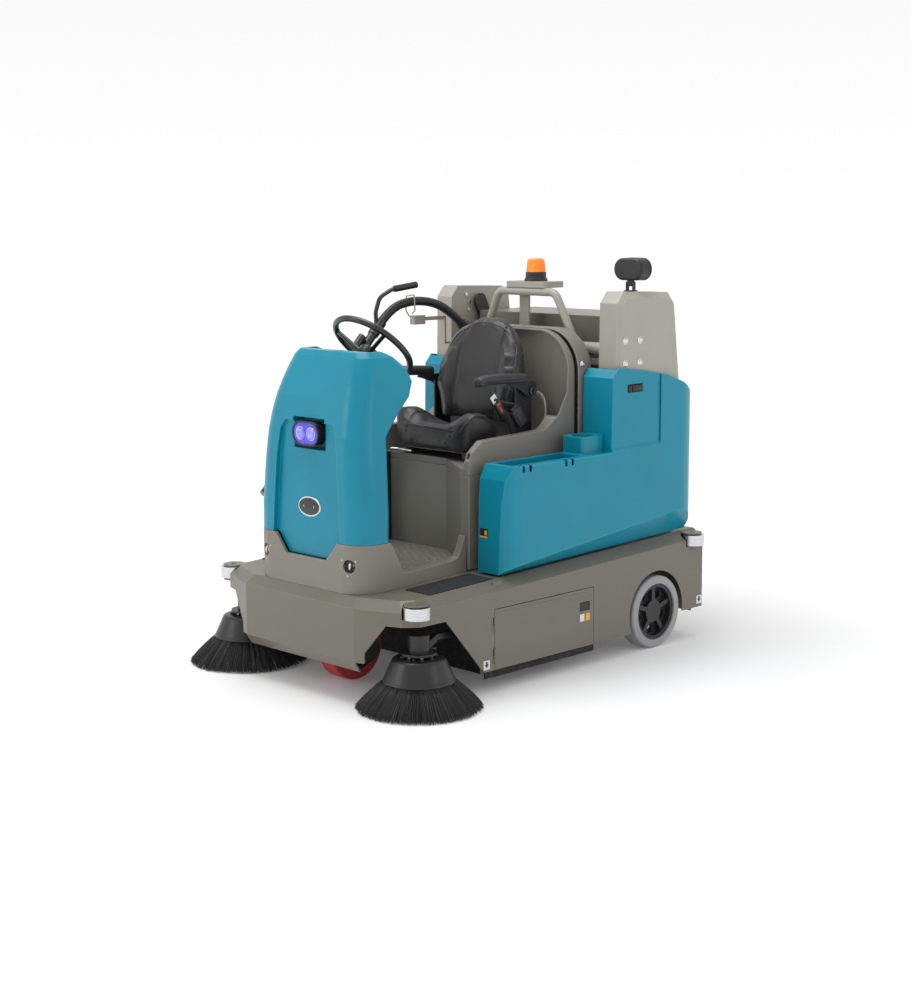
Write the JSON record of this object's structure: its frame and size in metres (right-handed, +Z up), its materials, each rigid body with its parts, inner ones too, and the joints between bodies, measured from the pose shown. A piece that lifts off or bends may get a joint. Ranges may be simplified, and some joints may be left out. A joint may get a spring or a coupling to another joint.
{
  "type": "ride-on sweeper",
  "caption": "Battery ride-on floor sweeper with twin side brushes, a main brush, a rear lifting hopper between towers, a padded seat and a vacuum wand.",
  "frame": {"origin": "on the floor under the middle of the machine, at the bottom centre of its bounding box", "axes": "+Z up, -Y is the front of the machine, +X is the operator's left"},
  "size_m": [1.506, 1.872, 1.623],
  "materials": {
    "painted_taupe": "satin paint",
    "black_paint": "satin black paint",
    "grey_tread": "ribbed anti-slip",
    "black_rubber": "matte",
    "taupe_plastic": "fine moulded grain",
    "teal_plastic": "satin moulded",
    "black_plastic": "fine grain",
    "black_gloss": "gloss",
    "red_plastic": "gloss",
    "bright_zinc": "zinc plated",
    "tower_grey": "satin paint",
    "grey_tyre": "non-marking rubber",
    "red_tyre": "polyurethane",
    "wheel_black": "moulded",
    "steel": "machined",
    "amber_lens": "clear amber",
    "lamp_black": "fine grain",
    "bristle_black": "nylon bristle",
    "seat_vinyl": "vinyl",
    "hose_black": "ribbed hose",
    "battery_grey": "moulded"
  },
  "bodies": {
    "chassis": {"chassis": "painted_taupe", "deck_mats": "grey_tread", "rubber_skirts": "black_rubber", "floor_pan": "taupe_plastic", "console_shell": "teal_plastic", "dash_panel": "black_plastic", "steering_column": "black_paint", "seat_hood": "taupe_plastic", "back_shroud": "taupe_plastic", "fasteners": "bright_zinc", "battery_pack": "battery_grey", "vacuum_unit": "black_plastic", "tower_left": "tower_grey", "tower_right": "tower_grey", "guard_frame": "tower_grey", "black_fittings": "black_plastic", "beacon_lens": "amber_lens", "vacuum_wand": "black_gloss", "vacuum_hose": "hose_black", "wand_holder": "tower_grey"},
    "steering_wheel": {"steering_wheel": "black_gloss"},
    "fork": {"front_fork": "black_paint"},
    "front_wheel": {"front_tyre": "red_tyre", "front_rim": "wheel_black"},
    "rear_wheel_left": {"rear_tyre_left": "grey_tyre", "rear_rim_left": "wheel_black"},
    "rear_wheel_right": {"rear_tyre_right": "grey_tyre", "rear_rim_right": "wheel_black"},
    "brush_arm_left": {"brush_arm_left": "black_paint"},
    "brush_arm_right": {"brush_arm_right": "black_paint"},
    "side_brush_left": {"side_brush_left": "bristle_black"},
    "side_brush_right": {"side_brush_right": "bristle_black"},
    "main_arm": {"main_brush_arm": "black_paint"},
    "main_brush": {"main_brush": "bristle_black"},
    "roller_front_left": {"roller_front_left": "bright_zinc"},
    "roller_front_right": {"roller_front_right": "bright_zinc"},
    "roller_rear_left": {"roller_rear_left": "bright_zinc"},
    "roller_rear_right": {"roller_rear_right": "bright_zinc"},
    "door_left": {"brush_door_left": "painted_taupe"},
    "door_right": {"brush_door_right": "painted_taupe"},
    "latch_left": {"door_latch_left": "black_plastic"},
    "latch_right": {"door_latch_right": "black_plastic"},
    "accelerator": {"accelerator_pedal": "black_plastic"},
    "brake": {"brake_pedal": "black_plastic"},
    "seat": {"seat_base": "black_paint", "seat_cushion": "seat_vinyl", "seat_back": "seat_vinyl", "seat_belt": "black_plastic"},
    "armrest_left": {"armrest_left": "seat_vinyl"},
    "armrest_right": {"armrest_right": "seat_vinyl"},
    "slide_lever": {"slide_lever": "bright_zinc"},
    "lift_arms": {"lift_arms": "black_paint"},
    "hopper": {"hopper": "painted_taupe"},
    "hopper_door": {"hopper_door": "painted_taupe"},
    "front_lamp": {"front_lamp": "lamp_black"},
    "rear_lamp": {"rear_lamp": "lamp_black"},
    "stop_button": {"stop_button": "red_plastic"},
    "key": {"key_switch": "bright_zinc"},
    "cover_left": {"side_cover_left": "teal_plastic"},
    "cover_right": {"side_cover_right": "teal_plastic"}
  },
  "joints": [
    {"name": "steering_turn", "type": "hinge", "parent": "chassis", "child": "steering_wheel", "pos_m": [0, -0.445, 1.301], "axis": [0, 0.6717, 0.7408], "range_deg": [-240, 240]},
    {"name": "fork_steer", "type": "hinge", "parent": "chassis", "child": "fork", "pos_m": [0, -0.586, 0.129], "axis": [0, 0, 1], "range_deg": [-60, 60]},
    {"name": "front_wheel_spin", "type": "hinge", "parent": "fork", "child": "front_wheel", "pos_m": [0, -0.586, 0.129], "axis": [1, 0, 0], "continuous": true},
    {"name": "rear_wheel_left_spin", "type": "hinge", "parent": "chassis", "child": "rear_wheel_left", "pos_m": [0.514, 0.629, 0.1525], "axis": [1, 0, 0], "continuous": true},
    {"name": "side_brush_arm_left_lift", "type": "hinge", "parent": "chassis", "child": "brush_arm_left", "pos_m": [0.485, -0.3, 0.25], "axis": [-1, 0, 0], "range_deg": [0, 4]},
    {"name": "side_brush_left_spin", "type": "hinge", "parent": "brush_arm_left", "child": "side_brush_left", "pos_m": [0.511, -0.694, 0.15], "axis": [0, 0, 1], "continuous": true},
    {"name": "door_left_swing", "type": "hinge", "parent": "chassis", "child": "door_left", "pos_m": [0.558, -0.341, 0.2], "axis": [0, 0, -1], "range_deg": [0, 95]},
    {"name": "latch_left_pull", "type": "hinge", "parent": "door_left", "child": "latch_left", "pos_m": [0.553, 0.177, 0.2625], "axis": [0, -1, 0], "range_deg": [0, 35], "stiffness_Nm_per_rad": 0.05},
    {"name": "armrest_left_tilt", "type": "hinge", "parent": "seat", "child": "armrest_left", "pos_m": [0.255, 0.184, 1.094], "axis": [-1, 0, 0], "range_deg": [0, 80]},
    {"name": "cover_left_tilt", "type": "hinge", "parent": "chassis", "child": "cover_left", "pos_m": [0.502, 0.3, 0.4519], "axis": [0, 0.9994, 0.0335], "range_deg": [0, 45]},
    {"name": "roller_front_left_spin", "type": "hinge", "parent": "chassis", "child": "roller_front_left", "pos_m": [0.546, -0.734, 0.373], "axis": [0, 0, 1], "continuous": true},
    {"name": "roller_rear_left_spin", "type": "hinge", "parent": "chassis", "child": "roller_rear_left", "pos_m": [0.545, 0.879, 0.426], "axis": [0, 0, 1], "continuous": true},
    {"name": "rear_wheel_right_spin", "type": "hinge", "parent": "chassis", "child": "rear_wheel_right", "pos_m": [-0.514, 0.629, 0.1525], "axis": [1, 0, 0], "continuous": true},
    {"name": "side_brush_arm_right_lift", "type": "hinge", "parent": "chassis", "child": "brush_arm_right", "pos_m": [-0.485, -0.3, 0.25], "axis": [-1, 0, 0], "range_deg": [0, 4]},
    {"name": "side_brush_right_spin", "type": "hinge", "parent": "brush_arm_right", "child": "side_brush_right", "pos_m": [-0.511, -0.694, 0.15], "axis": [0, 0, 1], "continuous": true},
    {"name": "door_right_swing", "type": "hinge", "parent": "chassis", "child": "door_right", "pos_m": [-0.558, -0.341, 0.2], "axis": [0, 0, 1], "range_deg": [0, 95]},
    {"name": "latch_right_pull", "type": "hinge", "parent": "door_right", "child": "latch_right", "pos_m": [-0.553, 0.177, 0.2625], "axis": [0, 1, 0], "range_deg": [0, 35], "stiffness_Nm_per_rad": 0.05},
    {"name": "armrest_right_tilt", "type": "hinge", "parent": "seat", "child": "armrest_right", "pos_m": [-0.255, 0.184, 1.094], "axis": [-1, 0, 0], "range_deg": [0, 80]},
    {"name": "cover_right_tilt", "type": "hinge", "parent": "chassis", "child": "cover_right", "pos_m": [-0.502, 0.3, 0.4519], "axis": [0, -0.9994, -0.0335], "range_deg": [0, 45]},
    {"name": "roller_front_right_spin", "type": "hinge", "parent": "chassis", "child": "roller_front_right", "pos_m": [-0.546, -0.734, 0.373], "axis": [0, 0, 1], "continuous": true},
    {"name": "roller_rear_right_spin", "type": "hinge", "parent": "chassis", "child": "roller_rear_right", "pos_m": [-0.545, 0.879, 0.426], "axis": [0, 0, 1], "continuous": true},
    {"name": "main_arm_lift", "type": "hinge", "parent": "chassis", "child": "main_arm", "pos_m": [0, 0.235, 0.25], "axis": [-1, 0, 0], "range_deg": [0, 5]},
    {"name": "main_brush_spin", "type": "hinge", "parent": "main_arm", "child": "main_brush", "pos_m": [0, -0.055, 0.142], "axis": [1, 0, 0], "continuous": true},
    {"name": "accelerator_press", "type": "hinge", "parent": "chassis", "child": "accelerator", "pos_m": [-0.15, -0.508, 0.4498], "axis": [1, 0, 0], "range_deg": [0, 12], "stiffness_Nm_per_rad": 2, "springref_deg": -17.19},
    {"name": "brake_press", "type": "hinge", "parent": "chassis", "child": "brake", "pos_m": [0.095, -0.508, 0.4498], "axis": [1, 0, 0], "range_deg": [0, 12], "stiffness_Nm_per_rad": 3, "springref_deg": -17.19},
    {"name": "seat_slide", "type": "slide", "parent": "chassis", "child": "seat", "axis": [0, -1, 0], "range_m": [0, 0.06]},
    {"name": "slide_lever_lift", "type": "hinge", "parent": "seat", "child": "slide_lever", "pos_m": [-0.12, -0.13, 0.846], "axis": [0, 1, 0], "range_deg": [0, 4], "stiffness_Nm_per_rad": 0.2},
    {"name": "lift_raise", "type": "hinge", "parent": "chassis", "child": "lift_arms", "pos_m": [0, 0.56, 1.42], "axis": [1, 0, 0], "range_deg": [0, 80]},
    {"name": "hopper_level", "type": "hinge", "parent": "lift_arms", "child": "hopper", "pos_m": [0, 0.8, 0.9], "axis": [1, 0, 0], "range_deg": [-80, 0]},
    {"name": "hopper_door_swing", "type": "hinge", "parent": "hopper", "child": "hopper_door", "pos_m": [0, 0.93, 0.652], "axis": [1, 0, 0], "range_deg": [0, 70]},
    {"name": "front_lamp_tilt", "type": "hinge", "parent": "chassis", "child": "front_lamp", "pos_m": [0, -0.732, 0.989], "axis": [1, 0, 0], "range_deg": [-6, 6]},
    {"name": "rear_lamp_tilt", "type": "hinge", "parent": "chassis", "child": "rear_lamp", "pos_m": [0.475, 0.538, 1.518], "axis": [1, 0, 0], "range_deg": [-25, 25]},
    {"name": "stop_button_press", "type": "slide", "parent": "chassis", "child": "stop_button", "axis": [0, -0.4003, -0.9164], "range_m": [0, 0.005], "stiffness_N_per_m": 600},
    {"name": "key_turn", "type": "hinge", "parent": "chassis", "child": "key", "pos_m": [-0.135, -0.5533, 1.2225], "axis": [0, -0.4003, -0.9164], "range_deg": [0, 90]}
  ],
  "couplings": [
    {"joint": "fork_steer", "follows": "steering_turn", "ratio": 0.25},
    {"joint": "hopper_level", "follows": "lift_raise", "ratio": -1}
  ]
}
